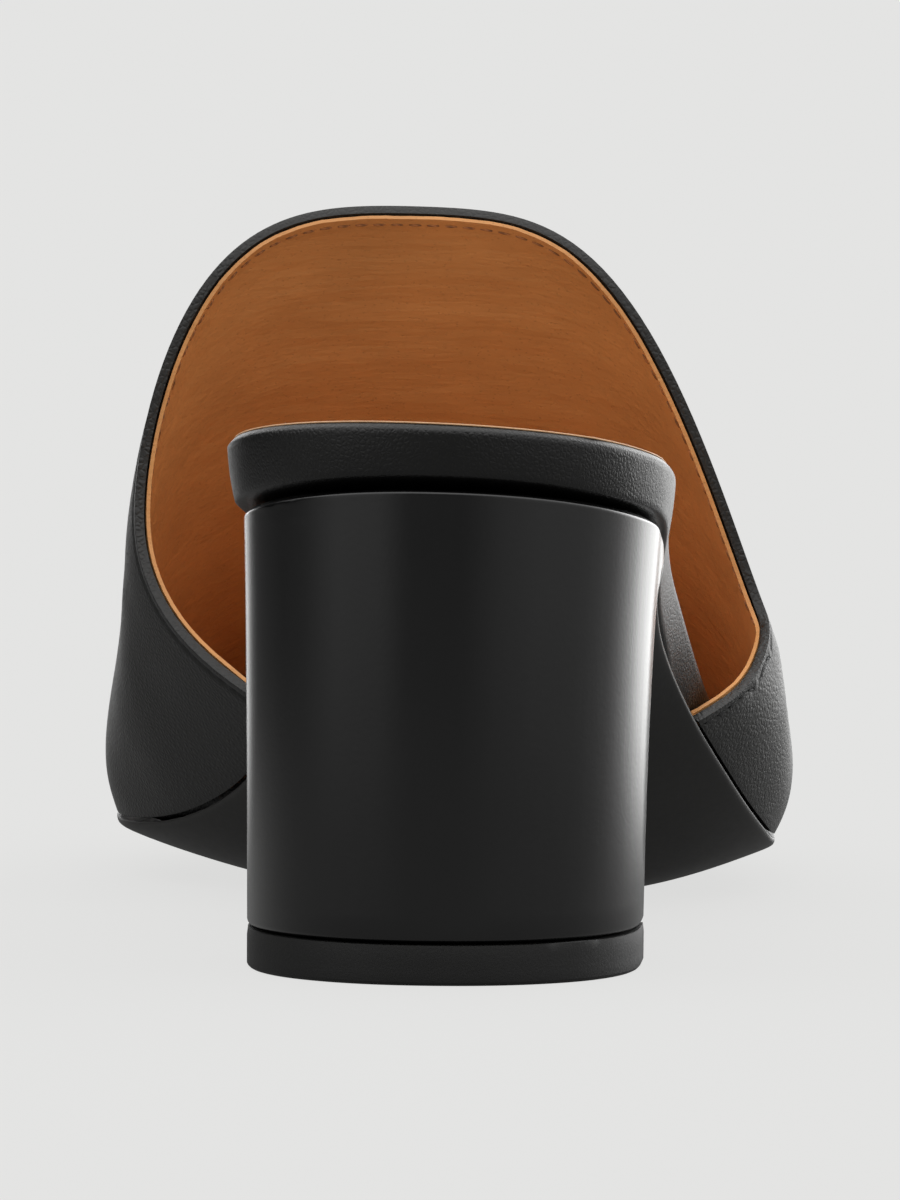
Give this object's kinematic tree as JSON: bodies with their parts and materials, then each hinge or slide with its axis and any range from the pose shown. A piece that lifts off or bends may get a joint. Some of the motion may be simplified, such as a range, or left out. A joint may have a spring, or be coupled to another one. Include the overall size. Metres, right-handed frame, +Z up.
{
  "type": "mule shoe",
  "caption": "Backless leather mule with a closed almond toe, deep vamp, thick covered insole rim and a covered block heel with a rubber top piece.",
  "frame": {"origin": "centre of the underside of the heel's top piece, on the floor", "axes": "+Z up, +Y from the heel to the toe, +X to the outer (lateral) side of the right foot"},
  "size_m": [0.091, 0.2379, 0.0898],
  "materials": {
    "sole_leather": "black sole leather, satin, light scuff",
    "rim_leather": "black smooth leather, satin, fine grain",
    "upper_leather": "black calf leather, satin, fine grain, tan leather lining",
    "heel_leather": "black polished leather cover, fine grain",
    "top_piece_rubber": "black rubber, matt"
  },
  "bodies": {
    "root": {"outsole": "sole_leather", "insole": "rim_leather", "upper": "upper_leather", "heel": "heel_leather", "top_piece": "top_piece_rubber"}
  },
  "joints": []
}
